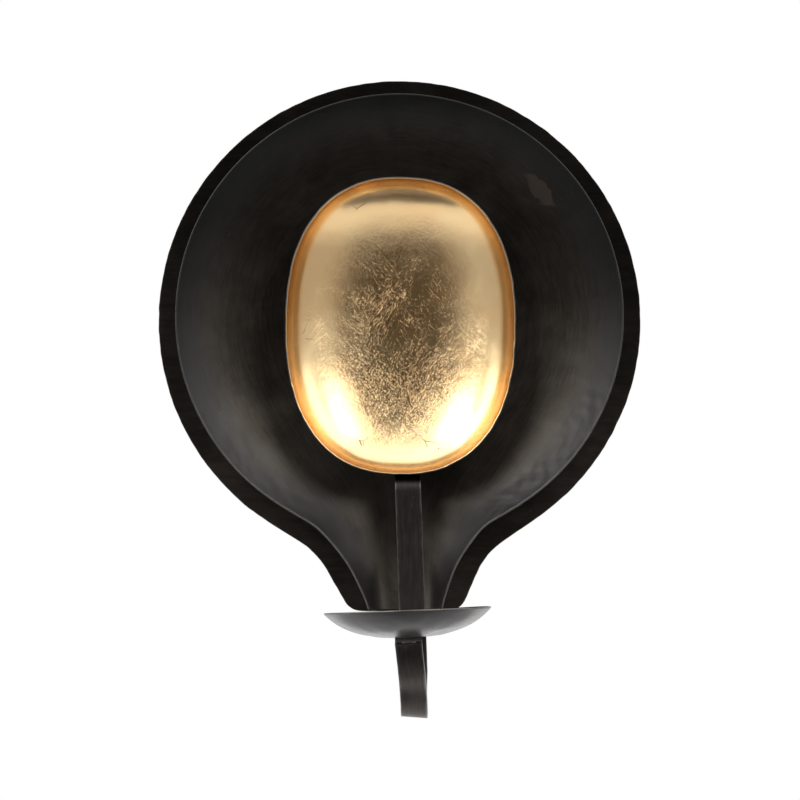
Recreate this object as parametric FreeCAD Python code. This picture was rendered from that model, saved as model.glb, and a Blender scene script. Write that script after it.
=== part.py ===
import FreeCAD, Part
import math
import os

Vector = FreeCAD.Vector

# Wall sconce for a candle. Millimetres. X to the right, Y into the wall, Z up.
# The origin is the centre of the keyhole's round entry, in the plane of the wall.
# Lengths called "high" or "height" below are measured from the back plate's centre until
# export, which moves everything down by HANG_HEIGHT.
HANG_HEIGHT = 105.0            # keyhole entry above the back plate's centre

# Flat back plate: a disc that flows into a short tail
WALL_GAP = 7.0                 # space between wall and plate, kept by hanger and bumpers
PLATE_THICK = 1.5
PLATE_RADIUS = 149.6
FLARE_ANGLE = 33.4             # where the straight flank leaves the disc, from straight down
FLANK_LENGTH = 36.0            # straight flank from the disc to the waist corner
WAIST_RADIUS = 44.0
TAIL_FOOT = (34.0, -180.6)     # half width and height of the tail's square foot
FOOT_RADIUS = 13.0
LEAN_START = -126.0            # the tail drifts sideways below this height
LEAN_SLOPE = 0.066

# Formed front dish
DISH_SHEET = 1.2
DISH_DEPTH = 22.0              # rim above the plate's front face
DISH_RADIUS = 137.5
DISH_FLOOR = 0.35              # flat share of the way from the dish's spine to its rim
DISH_SOFT_RISE = 0.45          # share of the depth that rises gently, the rest curls up
DISH_FLARE_ANGLE = 31.0        # end of the round rim, from straight down
DISH_ROUND_STEPS = 20          # rim points on each side of the round part
DISH_TAIL = [                  # half widths and heights of the rim down the tail
    (57.4, -125.8),
    (48.6, -132.6),
    (38.8, -144.6),
    (31.8, -156.0),
    (26.5, -168.4),
    (23.3, -178.0),
    (18.6, -192.0),
    (9.6, -200.6),
]
DISH_TAIL_END = -203.0         # the formed shape ends here before the foot is cut square
DISH_CUT = -179.4              # the cut that leaves the channel open
SPINE_START = 110.0            # rim points lower than this pull the spine down with them
SPINE_SOFTNESS = 12.0

# Oval gilt reflector bowl
BOWL_SHEET = 1.2
BOWL_HALF_WIDTH = 70.4
BOWL_HALF_HEIGHT = 91.1
BOWL_SQUARENESS = 2.35         # exponent of the oval outline, 2 would be an ellipse
BOWL_CENTRE = (0.6, -7.1)
BOWL_RIM_Y = -42.5
BOWL_FLOOR = 0.30              # flat share of the bowl's outline
BOWL_WALL_POWER = 2.6          # higher makes a flatter floor and a steeper wall
BOWL_STEPS = 32                # points on one contour
DISH_SHARES = [DISH_FLOOR, 0.46, 0.57, 0.67, 0.76, 0.84, 0.91, 0.96, 1.0]
BOWL_SHARES = [BOWL_FLOOR, 0.45, 0.6, 0.72, 0.82, 0.9, 0.955, 0.985, 1.0]

# Flat bar arm
BAR_WIDTH = 16.0
BAR_THICK = 2.5
TANG_TOP = 20.0                # upper end of the bar, behind the bowl
STRAP_Y = -37.5                # centre of the bar where it passes the tail
JOGGLE_END = -108.0            # the bar hangs straight below this height
JOGGLE_ANGLE = 50.0
JOGGLE_RADIUS = 12.0
LOOP_BOTTOM = -242.3
LOOP_RADIUS = 25.25
TAB_RADIUS = 4.0
TAB_END_Y = -106.0
STRAP_X = (1.5, 9.0)           # bar centre at the plate's centre height and at the loop's start
LOOP_LEG_X = 7.2               # front leg centre where it leaves the loop
LOOP_LEG_LEAN = 0.1085         # sideways run of the front leg for each unit of height
LOOP_YAW = 4.0
LEG_YAW = -12.0
LEG_UNTWIST = 0.4              # share of the yaw the front leg loses on its way up
ARC_STEP = 7.5                 # degrees between two sections in a bend
STRAIGHT_STEP = 20.0           # length between two sections in a straight run

# Drip pan
PAN_RADIUS = 49.0
PAN_SHEET = 1.2
PAN_FLAT = 8.0
PAN_INNER_ARC = 72.0
PAN_OUTER_ARC = 44.0
PAN_ARC_CHANGE = 30.0
PAN_CENTRE = (5.3, -98.0)
PAN_RIM_HEIGHT = -180.0
PAN_TILT = 2.4                 # the right side sits a little high

# Fasteners and wall fittings
STUD_RADIUS = 2.5
STUD_HOLE_RADIUS = 2.75
STUD_HEIGHTS = (8.0, -22.0)
STUD_END_Y = -1.5
WASHER_RADIUS = 5.0
WASHER_THICK = 1.0
NUT_FLATS = 8.0
NUT_THICK = 4.0
RIVET_RADIUS = 2.0
RIVET_HEAD_RADIUS = 3.5
RIVET_HEAD = 1.6
PAN_HEAD_RADIUS = 3.6          # flush head, so that a candle stands level on the pan's floor
PAN_TAIL_HEAD_RADIUS = 4.0
PAN_TAIL_HEAD = 0.8
HEAD_ROUNDING = 0.6            # fillet of the low head as a share of its height
HANGER_SHEET = 1.5
HANGER_HALF_WIDTH = 16.0
HANGER_FOOT = 33.0
HANGER_RIVET_X = 25.0
HANGER_LOW = -14.0
HANGER_HIGH = 22.0
KEYHOLE_RADIUS = 5.0
KEYHOLE_SLOT = 5.0
KEYHOLE_RISE = 12.0
BUMPER_RADIUS = 6.0
BUMPER_ROUNDING = 1.0
BUMPER_PLACES = [(-85.0, -85.0), (85.0, -85.0), (3.3, -162.0)]

# Depths worked out from the sizes above. Forward is -Y.
PLATE_REAR_Y = -WALL_GAP
PLATE_FRONT_Y = PLATE_REAR_Y - PLATE_THICK
DISH_FRONT_Y = PLATE_FRONT_Y - DISH_SHEET
TANG_FRONT_Y = DISH_FRONT_Y - BAR_THICK
MARGIN = 1.0                   # how far cutting tools reach past what they cut


def export(shape, node):
    shape.translate(Vector(0, 0, -HANG_HEIGHT))
    shape.exportStep("parts/" + node + ".step")
    print(node, "solids", len(shape.Solids), "valid", shape.isValid(), "mm3", round(shape.Volume))


def lean(height):
    """Sideways drift of the tail at a height."""
    return LEAN_SLOPE * max(0.0, LEAN_START - height)


def rod(x, z, radius, y_from, y_to):
    """Round bar along Y between two depths."""
    start = Vector(x, max(y_from, y_to), z)
    return Part.makeCylinder(radius, abs(y_to - y_from), start, Vector(0, -1, 0))


def rounded_corner(before, corner, after, radius):
    """Both tangent points and the middle of the arc that rounds a corner."""
    back = (before - corner).normalize()
    ahead = (after - corner).normalize()
    half = back.getAngle(ahead) / 2
    reach = radius / math.tan(half)
    bisector = (back + ahead).normalize()
    middle = corner + bisector * (radius / math.sin(half) - radius)
    return corner + back * reach, middle, corner + ahead * reach


def plate_outline():
    """Closed outline of the back plate at its rear face, tail foot at the bottom."""
    y = PLATE_REAR_Y
    angle = math.radians(FLARE_ANGLE)
    sides = []
    for side in (1, -1):
        leave = Vector(side * PLATE_RADIUS * math.sin(angle), y, -PLATE_RADIUS * math.cos(angle))
        flank = Vector(-side * math.cos(angle), 0, -math.sin(angle))
        waist = leave + flank * FLANK_LENGTH
        waist.x += lean(waist.z)
        foot = Vector(side * TAIL_FOOT[0] + lean(TAIL_FOOT[1]), y, TAIL_FOOT[1])
        middle = Vector(lean(TAIL_FOOT[1]), y, TAIL_FOOT[1])
        waist_arc = rounded_corner(leave, waist, foot, WAIST_RADIUS)
        foot_arc = rounded_corner(waist, foot, middle, FOOT_RADIUS)
        sides.append((leave, waist_arc, foot_arc))
    right, left = sides
    edges = [Part.Arc(left[0], Vector(0, y, PLATE_RADIUS), right[0]).toShape()]
    edges.append(Part.makeLine(right[0], right[1][0]))
    edges.append(Part.Arc(*right[1]).toShape())
    edges.append(Part.makeLine(right[1][2], right[2][0]))
    edges.append(Part.Arc(*right[2]).toShape())
    edges.append(Part.makeLine(right[2][2], left[2][2]))
    edges.append(Part.Arc(*left[2]).toShape())
    edges.append(Part.makeLine(left[2][0], left[1][2]))
    edges.append(Part.Arc(*left[1]).toShape())
    edges.append(Part.makeLine(left[1][0], left[0]))
    return Part.Wire(Part.__sortEdges__(edges))


def stud_holes(y_from, y_to):
    holes = []
    for height in STUD_HEIGHTS:
        holes.append(rod(strap_x(height), height, STUD_HOLE_RADIUS, y_from, y_to))
    return holes


def back_plate():
    plate = Part.Face(plate_outline()).extrude(Vector(0, -PLATE_THICK, 0))
    cutters = stud_holes(PLATE_REAR_Y + MARGIN, PLATE_FRONT_Y - MARGIN)
    for side in (1, -1):
        x = side * HANGER_RIVET_X
        cutters.append(rod(x, HANG_HEIGHT, RIVET_RADIUS, PLATE_REAR_Y + MARGIN, PLATE_FRONT_Y - MARGIN))
    return plate.cut(cutters)


def dish_rim():
    """Rim of the dish as (x, z), once round, tail end first."""
    right = []
    for x, z in reversed(DISH_TAIL):
        right.append((x, z))
    start = math.radians(DISH_FLARE_ANGLE)
    for i in range(DISH_ROUND_STEPS):
        angle = start + (math.pi - start) * i / DISH_ROUND_STEPS
        right.append((DISH_RADIUS * math.sin(angle), -DISH_RADIUS * math.cos(angle)))
    rim = [(lean(DISH_TAIL_END), DISH_TAIL_END)]
    for x, z in right:
        rim.append((x + lean(z), z))
    rim.append((0.0, DISH_RADIUS))
    for x, z in reversed(right):
        rim.append((lean(z) - x, z))
    return rim


def spine_height(rim_height):
    """Height of the spine point that belongs to a rim point: 0 on the disc, lower in the tail."""
    return -SPINE_SOFTNESS * math.log(1 + math.exp(-(rim_height + SPINE_START) / SPINE_SOFTNESS))


def dish_rise(share):
    """Height of the dish's wall over its floor, at a share of the way from spine to rim."""
    way = max(0.0, (share - DISH_FLOOR) / (1 - DISH_FLOOR))
    return DISH_DEPTH * (DISH_SOFT_RISE * way ** 2 + (1 - DISH_SOFT_RISE) * way ** 5)


def dish_share(height, reach, lift):
    """Share of the way from spine to rim where a face that lies lift over the rear face has a height."""
    low, high = DISH_FLOOR, 1.0
    step = 0.001
    for _ in range(40):
        share = (low + high) / 2
        slope = (dish_rise(share + step) - dish_rise(share - step)) / (2 * step * reach)
        if dish_rise(share) + lift * math.hypot(1, slope) < height:
            low = share
        else:
            high = share
    return (low + high) / 2


def closed_curve(points):
    curve = Part.BSplineCurve()
    params = [i / len(points) for i in range(len(points) + 1)]
    curve.interpolate(Points=points, PeriodicFlag=True, Parameters=params)
    return Part.Wire(curve.toShape())


def dish_level(rim, share, lift):
    """Closed contour of the face that lies lift over the dish's rear face."""
    height = lift + dish_rise(share) * (DISH_DEPTH - lift) / DISH_DEPTH
    points = []
    for x, z in rim:
        low = spine_height(z)
        mid = lean(low)
        way = share if share == DISH_FLOOR else dish_share(height, math.hypot(x - mid, z - low), lift)
        points.append(Vector(mid + way * (x - mid), PLATE_FRONT_Y - height, low + way * (z - low)))
    return closed_curve(points)


def front_dish():
    rim = dish_rim()
    outside = Part.makeLoft([dish_level(rim, share, 0.0) for share in DISH_SHARES], True, False)
    inside = Part.makeLoft([dish_level(rim, share, DISH_SHEET) for share in DISH_SHARES], True, False)
    reach = DISH_RADIUS
    foot = Part.makeBox(2 * reach, reach, reach, Vector(-reach, -reach, DISH_CUT - reach))
    return outside.cut([inside, foot] + stud_holes(PLATE_FRONT_Y + MARGIN, DISH_FRONT_Y - MARGIN))


def bowl_level(share, lift):
    """Oval contour of the bowl at a share of its outline, on its outside or lift inside that."""
    depth = TANG_FRONT_Y - lift - BOWL_RIM_Y
    floor_drop = (1 - BOWL_FLOOR ** BOWL_WALL_POWER) ** 0.5
    y = BOWL_RIM_Y + depth * (1 - share ** BOWL_WALL_POWER) ** 0.5 / floor_drop
    points = []
    for i in range(BOWL_STEPS):
        angle = 2 * math.pi * i / BOWL_STEPS
        c, s = math.cos(angle), math.sin(angle)
        x = math.copysign(abs(c) ** (2 / BOWL_SQUARENESS), c)
        z = math.copysign(abs(s) ** (2 / BOWL_SQUARENESS), s)
        points.append(Vector(
            BOWL_CENTRE[0] + share * (BOWL_HALF_WIDTH - lift) * x,
            y,
            BOWL_CENTRE[1] + share * (BOWL_HALF_HEIGHT - lift) * z,
        ))
    return closed_curve(points)


def reflector_bowl():
    outside = Part.makeLoft([bowl_level(share, 0.0) for share in BOWL_SHARES], True, False)
    inside = Part.makeLoft([bowl_level(share, BOWL_SHEET) for share in BOWL_SHARES], True, False)
    return outside.cut(inside)


def arm_path():
    """Centre line of the bar as (y, z, heading), from the tang down, round the loop and to the tab.

    The heading is 0 straight down, 90 straight forward and 180 straight up.
    """
    joggle_forward = 2 * JOGGLE_RADIUS * (1 - math.cos(math.radians(JOGGLE_ANGLE)))
    joggle_down = 2 * JOGGLE_RADIUS * math.sin(math.radians(JOGGLE_ANGLE))
    tang_y = DISH_FRONT_Y - BAR_THICK / 2
    slant = (tang_y - STRAP_Y - joggle_forward) / math.sin(math.radians(JOGGLE_ANGLE))
    joggle_start = JOGGLE_END + joggle_down + slant * math.cos(math.radians(JOGGLE_ANGLE))
    loop_start = LOOP_BOTTOM + LOOP_RADIUS
    tab_z = pan_bottom() - BAR_THICK / 2
    leg_y = STRAP_Y - 2 * LOOP_RADIUS
    moves = [
        (TANG_TOP - joggle_start, 0.0, 0.0),
        (0.0, JOGGLE_RADIUS, JOGGLE_ANGLE),
        (slant, 0.0, 0.0),
        (0.0, JOGGLE_RADIUS, -JOGGLE_ANGLE),
        (JOGGLE_END - loop_start, 0.0, 0.0),
        (0.0, LOOP_RADIUS, 180.0),
        (tab_z - TAB_RADIUS - loop_start, 0.0, 0.0),
        (0.0, TAB_RADIUS, -90.0),
        (leg_y - TAB_RADIUS - TAB_END_Y, 0.0, 0.0),
    ]
    y, z, heading = tang_y, TANG_TOP, 0.0
    path = [(y, z, heading, "tang")]
    names = ["tang", "tang", "strap", "strap", "strap", "loop", "leg", "tab", "tab"]
    for (length, radius, turn), name in zip(moves, names):
        steps = abs(turn) / ARC_STEP if turn else length / STRAIGHT_STEP
        steps = max(1, round(steps))
        for i in range(steps):
            part = turn / steps
            middle = math.radians(heading + part / 2)
            chord = 2 * radius * math.sin(math.radians(abs(part) / 2)) if turn else length / steps
            y -= chord * math.sin(middle)
            z -= chord * math.cos(middle)
            heading += part
            path.append((y, z, heading, name))
    return path


def strap_x(z):
    """Sideways place of the bar's hanging part: it leans a little to the right going down."""
    top, low = STRAP_X
    return top + (low - top) * z / (LOOP_BOTTOM + LOOP_RADIUS)


def pan_bottom():
    """Height of the underside of the pan at its centre."""
    return PAN_RIM_HEIGHT - pan_depth()


def bar_section(place, tangent, roll):
    """Rectangle across the bar at a place on its centre line."""
    across = Vector(1, 0, 0) - tangent * tangent.x
    across.normalize()
    turn = FreeCAD.Rotation(tangent, roll)
    across = turn.multVec(across)
    normal = tangent.cross(across)
    corners = []
    for a, b in ((-1, -1), (1, -1), (1, 1), (-1, 1)):
        corners.append(place + across * (a * BAR_WIDTH / 2) + normal * (b * BAR_THICK / 2))
    return Part.makePolygon(corners + corners[:1])


def arm_centres():
    """Places along the bar in 3-D with the bar's roll about its own line at each."""
    low, loop_length = LOOP_BOTTOM + LOOP_RADIUS, math.pi * LOOP_RADIUS
    strap_slope = (STRAP_X[0] - STRAP_X[1]) / low
    centres = []
    for y, z, heading, name in arm_path():
        if name in ("tang", "strap"):
            x = strap_x(z)
            roll = LOOP_YAW * max(0.0, (JOGGLE_END - z) / (JOGGLE_END - low))
        elif name == "loop":
            t = heading / 180
            x = (2 * t ** 3 - 3 * t ** 2 + 1) * STRAP_X[1] + (3 * t ** 2 - 2 * t ** 3) * LOOP_LEG_X
            x -= (t ** 3 - 2 * t ** 2 + t) * strap_slope * loop_length
            x -= (t ** 3 - t ** 2) * LOOP_LEG_LEAN * loop_length
            roll = LOOP_YAW + (LEG_YAW - LOOP_YAW) * t
        elif name == "leg":
            x = LOOP_LEG_X - LOOP_LEG_LEAN * (z - low)
            leg_length = pan_bottom() - BAR_THICK / 2 - TAB_RADIUS - low
            roll = LEG_YAW * (1 - LEG_UNTWIST * (z - low) / leg_length)
        else:
            x = PAN_CENTRE[0]
            bent = (180 - heading) / 90
            roll = (1 - LEG_UNTWIST) * LEG_YAW * (1 - bent) + PAN_TILT * bent
        centres.append((Vector(x, y, z), heading, roll))
    return centres


def arm_strap():
    centres = arm_centres()
    sections = []
    for i, (place, heading, roll) in enumerate(centres):
        before = centres[max(0, i - 1)][0]
        after = centres[min(len(centres) - 1, i + 1)][0]
        angle = math.radians(heading)
        drift = (after.x - before.x) / (after - before).Length
        tangent = Vector(drift, -math.sin(angle), -math.cos(angle)).normalize()
        sections.append(bar_section(place, tangent, roll))
    bar = Part.makeLoft(sections, True, True)
    cutters = stud_holes(DISH_FRONT_Y + MARGIN, TANG_FRONT_Y - MARGIN)
    cutters.append(pan_axis_rod(RIVET_RADIUS, -2 * BAR_THICK, MARGIN))
    return bar.cut(cutters)


def pan_arc_angles():
    """Slopes of the pan's wall where its two arcs meet and at its rim."""
    change = math.asin((PAN_ARC_CHANGE - PAN_FLAT) / PAN_INNER_ARC)
    rim = math.asin(math.sin(change) + (PAN_RADIUS - PAN_ARC_CHANGE) / PAN_OUTER_ARC)
    return change, rim


def pan_depth():
    change, rim = pan_arc_angles()
    inner = PAN_INNER_ARC * (1 - math.cos(change))
    return inner + PAN_OUTER_ARC * (math.cos(change) - math.cos(rim))


def place_on_pan(shape):
    """Moves a shape built on the pan's own axis, underside at height 0, to where the pan sits."""
    shape.rotate(Vector(0, 0, 0), Vector(0, -1, 0), PAN_TILT)
    shape.translate(Vector(PAN_CENTRE[0], PAN_CENTRE[1], pan_bottom()))
    return shape


def pan_axis_rod(radius, low, high):
    return place_on_pan(Part.makeCylinder(radius, high - low, Vector(0, 0, low)))


def pan_profile(lift):
    """Points and arc middles of the pan's section, at a distance inside its outer face."""
    change, rim = pan_arc_angles()
    inner, outer = PAN_INNER_ARC - lift, PAN_OUTER_ARC - lift
    inner_centre = (PAN_FLAT, PAN_INNER_ARC)
    outer_x = PAN_ARC_CHANGE - PAN_OUTER_ARC * math.sin(change)
    outer_z = PAN_INNER_ARC - (PAN_INNER_ARC - PAN_OUTER_ARC) * math.cos(change)
    points = [Vector(PAN_FLAT, 0, lift)]
    for centre, radius, angle in (
        (inner_centre, inner, change / 2),
        (inner_centre, inner, change),
        ((outer_x, outer_z), outer, (change + rim) / 2),
        ((outer_x, outer_z), outer, rim),
    ):
        x = centre[0] + radius * math.sin(angle)
        points.append(Vector(x, 0, centre[1] - radius * math.cos(angle)))
    return points


def drip_pan():
    outside = pan_profile(0.0)
    inside = pan_profile(PAN_SHEET)
    edges = [Part.makeLine(Vector(0, 0, 0), outside[0])]
    edges.append(Part.Arc(*outside[0:3]).toShape())
    edges.append(Part.Arc(*outside[2:5]).toShape())
    edges.append(Part.makeLine(outside[4], inside[4]))
    edges.append(Part.Arc(inside[4], inside[3], inside[2]).toShape())
    edges.append(Part.Arc(inside[2], inside[1], inside[0]).toShape())
    edges.append(Part.makeLine(inside[0], Vector(0, 0, PAN_SHEET)))
    edges.append(Part.makeLine(Vector(0, 0, PAN_SHEET), Vector(0, 0, 0)))
    section = Part.Face(Part.Wire(edges))
    pan = section.revolve(Vector(0, 0, 0), Vector(0, 0, 1), 360)
    return place_on_pan(pan.cut(flush_head()))


def flush_head():
    """Cone through the pan's floor: wide and level with it above, as wide as the rivet below."""
    return Part.makeCone(RIVET_RADIUS, PAN_HEAD_RADIUS, PAN_SHEET, Vector(0, 0, 0), Vector(0, 0, 1))


def pan_rivet():
    """Rivet through the pan and the bar's tab: a flush head above and a low round one below."""
    shank = Part.makeCylinder(RIVET_RADIUS, BAR_THICK, Vector(0, 0, -BAR_THICK))
    low = -BAR_THICK - PAN_TAIL_HEAD
    tail = Part.makeCylinder(PAN_TAIL_HEAD_RADIUS, PAN_TAIL_HEAD, Vector(0, 0, low))
    tail = tail.makeFillet(PAN_TAIL_HEAD * HEAD_ROUNDING, [edge_at_height(tail, low)])
    return place_on_pan(shank.fuse([flush_head(), tail]).removeSplitter())


def edge_at_height(shape, height):
    """The round edge of a cylinder at one of its ends."""
    return min(shape.Edges, key=lambda edge: abs(edge.BoundBox.ZMax - height) + edge.BoundBox.ZLength)


def bowl_studs():
    studs = []
    for height in STUD_HEIGHTS:
        studs.append(rod(strap_x(height), height, STUD_RADIUS, TANG_FRONT_Y, STUD_END_Y))
    return Part.makeCompound(studs)


def stud_washers():
    washers = []
    for height in STUD_HEIGHTS:
        x = strap_x(height)
        washer = rod(x, height, WASHER_RADIUS, PLATE_REAR_Y, PLATE_REAR_Y + WASHER_THICK)
        bore = rod(x, height, STUD_HOLE_RADIUS, PLATE_REAR_Y - MARGIN, PLATE_REAR_Y + WASHER_THICK + MARGIN)
        washers.append(washer.cut(bore))
    return Part.makeCompound(washers)


def stud_nuts():
    nuts = []
    y = PLATE_REAR_Y + WASHER_THICK
    for height in STUD_HEIGHTS:
        corners = []
        for i in range(6):
            angle = math.radians(60 * i + 30)
            reach = NUT_FLATS / 2 / math.cos(math.radians(30))
            x = strap_x(height) + reach * math.cos(angle)
            corners.append(Vector(x, y, height + reach * math.sin(angle)))
        hexagon = Part.Face(Part.makePolygon(corners + corners[:1]))
        nut = hexagon.extrude(Vector(0, NUT_THICK, 0))
        nuts.append(nut.cut(rod(strap_x(height), height, STUD_RADIUS, y - MARGIN, y + NUT_THICK + MARGIN)))
    return Part.makeCompound(nuts)


def hanger_bracket():
    """Hat-shaped bracket: the crown lies on the wall and holds the keyhole, the feet on the plate."""
    low = HANG_HEIGHT + HANGER_LOW
    tall = HANGER_HIGH - HANGER_LOW
    crown_corner = Vector(-HANGER_HALF_WIDTH, -HANGER_SHEET, low)
    crown = Part.makeBox(2 * HANGER_HALF_WIDTH, HANGER_SHEET, tall, crown_corner)
    pieces = []
    for side in (1, -1):
        wall_x = HANGER_HALF_WIDTH - HANGER_SHEET if side > 0 else -HANGER_HALF_WIDTH
        foot_x = HANGER_HALF_WIDTH - HANGER_SHEET if side > 0 else -HANGER_FOOT
        foot_width = HANGER_FOOT - HANGER_HALF_WIDTH + HANGER_SHEET
        pieces.append(Part.makeBox(HANGER_SHEET, WALL_GAP, tall, Vector(wall_x, -WALL_GAP, low)))
        pieces.append(Part.makeBox(foot_width, HANGER_SHEET, tall, Vector(foot_x, -WALL_GAP, low)))
    hat = crown.fuse(pieces).removeSplitter()
    bends = []
    for edge in hat.Edges:
        box = edge.BoundBox
        outside_bend = abs(box.YMax) < 0.01 and abs(abs(box.XMax) - HANGER_HALF_WIDTH) < 0.01
        if abs(box.ZLength - tall) < 0.01 and outside_bend:
            bends.append(edge)
    hat = hat.makeFillet(HANGER_SHEET, bends)
    entry = rod(0, HANG_HEIGHT, KEYHOLE_RADIUS, MARGIN, -HANGER_SHEET - MARGIN)
    slot_top = HANG_HEIGHT + KEYHOLE_RISE
    slot_end = rod(0, slot_top, KEYHOLE_SLOT / 2, MARGIN, -HANGER_SHEET - MARGIN)
    slot_corner = Vector(-KEYHOLE_SLOT / 2, -HANGER_SHEET - MARGIN, HANG_HEIGHT)
    slot = Part.makeBox(KEYHOLE_SLOT, HANGER_SHEET + 2 * MARGIN, KEYHOLE_RISE, slot_corner)
    cutters = [entry, slot_end, slot]
    for side in (1, -1):
        x = side * HANGER_RIVET_X
        cutters.append(rod(x, HANG_HEIGHT, RIVET_RADIUS, MARGIN, PLATE_FRONT_Y))
    return hat.cut(cutters)


def hanger_rivets():
    rivets = []
    rear = PLATE_REAR_Y + HANGER_SHEET
    for side in (1, -1):
        x = side * HANGER_RIVET_X
        shank = rod(x, HANG_HEIGHT, RIVET_RADIUS, rear, PLATE_FRONT_Y)
        rear_head = rod(x, HANG_HEIGHT, RIVET_HEAD_RADIUS, rear, rear + RIVET_HEAD)
        front_head = rod(x, HANG_HEIGHT, RIVET_HEAD_RADIUS, PLATE_FRONT_Y - RIVET_HEAD, PLATE_FRONT_Y)
        rivets.append(shank.fuse([rear_head, front_head]).removeSplitter())
    return Part.makeCompound(rivets)


def wall_bumpers():
    bumpers = []
    for x, z in BUMPER_PLACES:
        pad = rod(x, z, BUMPER_RADIUS, PLATE_REAR_Y, 0.0)
        wall_edge = min(pad.Edges, key=lambda edge: abs(edge.BoundBox.YMin) + edge.BoundBox.YLength)
        bumpers.append(pad.makeFillet(BUMPER_ROUNDING, [wall_edge]))
    return Part.makeCompound(bumpers)


os.makedirs("parts", exist_ok=True)
export(back_plate(), "back_plate")
export(front_dish(), "front_dish")
export(reflector_bowl(), "reflector_bowl")
export(bowl_studs(), "bowl_studs")
export(stud_washers(), "stud_washers")
export(stud_nuts(), "stud_nuts")
export(arm_strap(), "arm_strap")
export(drip_pan(), "drip_pan")
export(pan_rivet(), "pan_rivet")
export(hanger_bracket(), "hanger_bracket")
export(hanger_rivets(), "hanger_rivets")
export(wall_bumpers(), "wall_bumpers")
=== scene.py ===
import math

import bmesh
import bpy
import numpy as np
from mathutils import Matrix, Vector


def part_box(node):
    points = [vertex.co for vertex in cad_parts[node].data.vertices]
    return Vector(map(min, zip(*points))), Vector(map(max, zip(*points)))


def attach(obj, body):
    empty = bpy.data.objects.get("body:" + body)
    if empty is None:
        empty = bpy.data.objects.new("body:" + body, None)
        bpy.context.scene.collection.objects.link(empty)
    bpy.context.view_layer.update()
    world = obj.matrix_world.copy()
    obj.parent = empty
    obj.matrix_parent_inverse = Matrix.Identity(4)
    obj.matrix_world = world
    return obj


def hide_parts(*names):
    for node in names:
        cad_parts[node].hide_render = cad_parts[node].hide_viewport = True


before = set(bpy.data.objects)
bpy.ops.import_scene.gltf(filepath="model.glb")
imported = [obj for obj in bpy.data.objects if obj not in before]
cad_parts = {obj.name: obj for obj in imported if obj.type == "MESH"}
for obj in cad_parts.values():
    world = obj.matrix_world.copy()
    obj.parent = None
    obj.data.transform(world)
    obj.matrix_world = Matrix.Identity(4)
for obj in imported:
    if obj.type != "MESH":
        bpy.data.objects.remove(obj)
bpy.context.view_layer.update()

MM = 0.001

# Sizes are in millimetres about the back plate's centre, as in the CAD. X right, Y into the wall, Z up.
PLATE_LOW, PLATE_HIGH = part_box("back_plate")
PLATE_REAR = PLATE_HIGH.y / MM
PLATE_FRONT = PLATE_LOW.y / MM
PLATE_RADIUS = 149.6
CENTRE_Z = PLATE_HIGH.z / MM - PLATE_RADIUS
PLATE_COUNT = 900              # points round the plate's edge
PLATE_EDGE_BREAK = 0.32        # rounding of the plate's edges
PLATE_INSETS = (1.0, 2.0, 4.0, 7.0, 11.0)
PLATE_SHARES = (0.9, 0.86, 0.82, 0.78, 0.74, 0.7, 0.6, 0.5, 0.4, 0.3, 0.2, 0.1)
PLATE_INSET_SHARE = 0.93       # the last inset ring counts as this share of the outline
PLATE_SPINE_START = 100.0
FAR_FROM_EDGE = 20.0
FLARE_ANGLE = 33.4             # where the straight flank leaves the disc, from straight down
FLANK_LENGTH = 36.0            # straight flank from the disc to the waist corner
WAIST_RADIUS = 44.0
TAIL_FOOT = (34.0, -180.6)     # half width and height of the tail's square foot
FOOT_RADIUS = 13.0
LEAN_START = -126.0            # the tail drifts sideways below this height
LEAN_SLOPE = 0.066
DISC_STEPS = 400

DISH_COUNT = 670               # points round the dish's rim
DISH_SHEET = 1.2
DISH_FRONT = PLATE_FRONT - DISH_SHEET
DISH_DEPTH = 22.0
DISH_RADIUS = 137.5
DISH_FLOOR = 0.35              # flat share of the way from the dish's spine to its rim
DISH_SOFT_RISE = 0.45          # share of the depth that rises gently, the rest curls up
DISH_FLARE_ANGLE = 31.0        # end of the round rim, from straight down
DISH_ROUND_STEPS = 20          # rim points on each side of the round part
DISH_TAIL = (                  # half widths and heights of the rim down the tail
    (57.4, -125.8), (48.6, -132.6), (38.8, -144.6), (31.8, -156.0),
    (26.5, -168.4), (23.3, -178.0), (18.6, -192.0), (9.6, -200.6),
)
DISH_TAIL_END = -203.0         # the formed shape ends here before the foot is cut square
DISH_CUT = -179.4              # the cut that leaves the channel open
DISH_SPINE_START = 110.0
DISH_LAID_FLAT = 0.3           # within this share the dish lies flat on the plate
DISH_MOST_DENT = 0.9
SPINE_SOFTNESS = 12.0
SPLINE_POINTS = 6000

BAR_WIDTH = 16.0
BAR_THICK = 2.5
BAR_EDGE = 0.42                # rounding of the bar's long edges

BOWL_COUNT = 640               # points round the bowl's rim
BOWL_SHEET = 1.2
BOWL_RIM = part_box("reflector_bowl")[0].y / MM
BOWL_BACK = DISH_FRONT - BAR_THICK
BOWL_HALF = (70.4, 91.1)
BOWL_CENTRE = (0.6, -7.1)
BOWL_SQUARENESS = 2.35         # exponent of the oval outline, 2 would be an ellipse
BOWL_FLOOR = 0.30              # flat share of the bowl's outline
BOWL_WALL_POWER = 2.6          # higher makes a flatter floor and a steeper wall
BOWL_OUTLINE_POINTS = 8000

PAN_COUNT = 360                # points round the pan
PAN_RADIUS = 49.0
PAN_SHEET = 1.2
PAN_FLAT = 8.0
PAN_INNER_ARC = 72.0
PAN_OUTER_ARC = 44.0
PAN_ARC_CHANGE = 30.0          # radius at which the inner arc hands over to the outer one
PAN_INNER_STEPS = 18
PAN_OUTER_STEPS = 24
PAN_CENTRE = (5.3, -98.0)
PAN_TILT = 2.4                 # the right side sits a little high
PAN_RIM_HEIGHT = -180.0

LIP_STEPS = 8                  # steps round a sheet's rim from one skin to the other


# ---------------------------------------------------------------- mesh helpers

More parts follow.
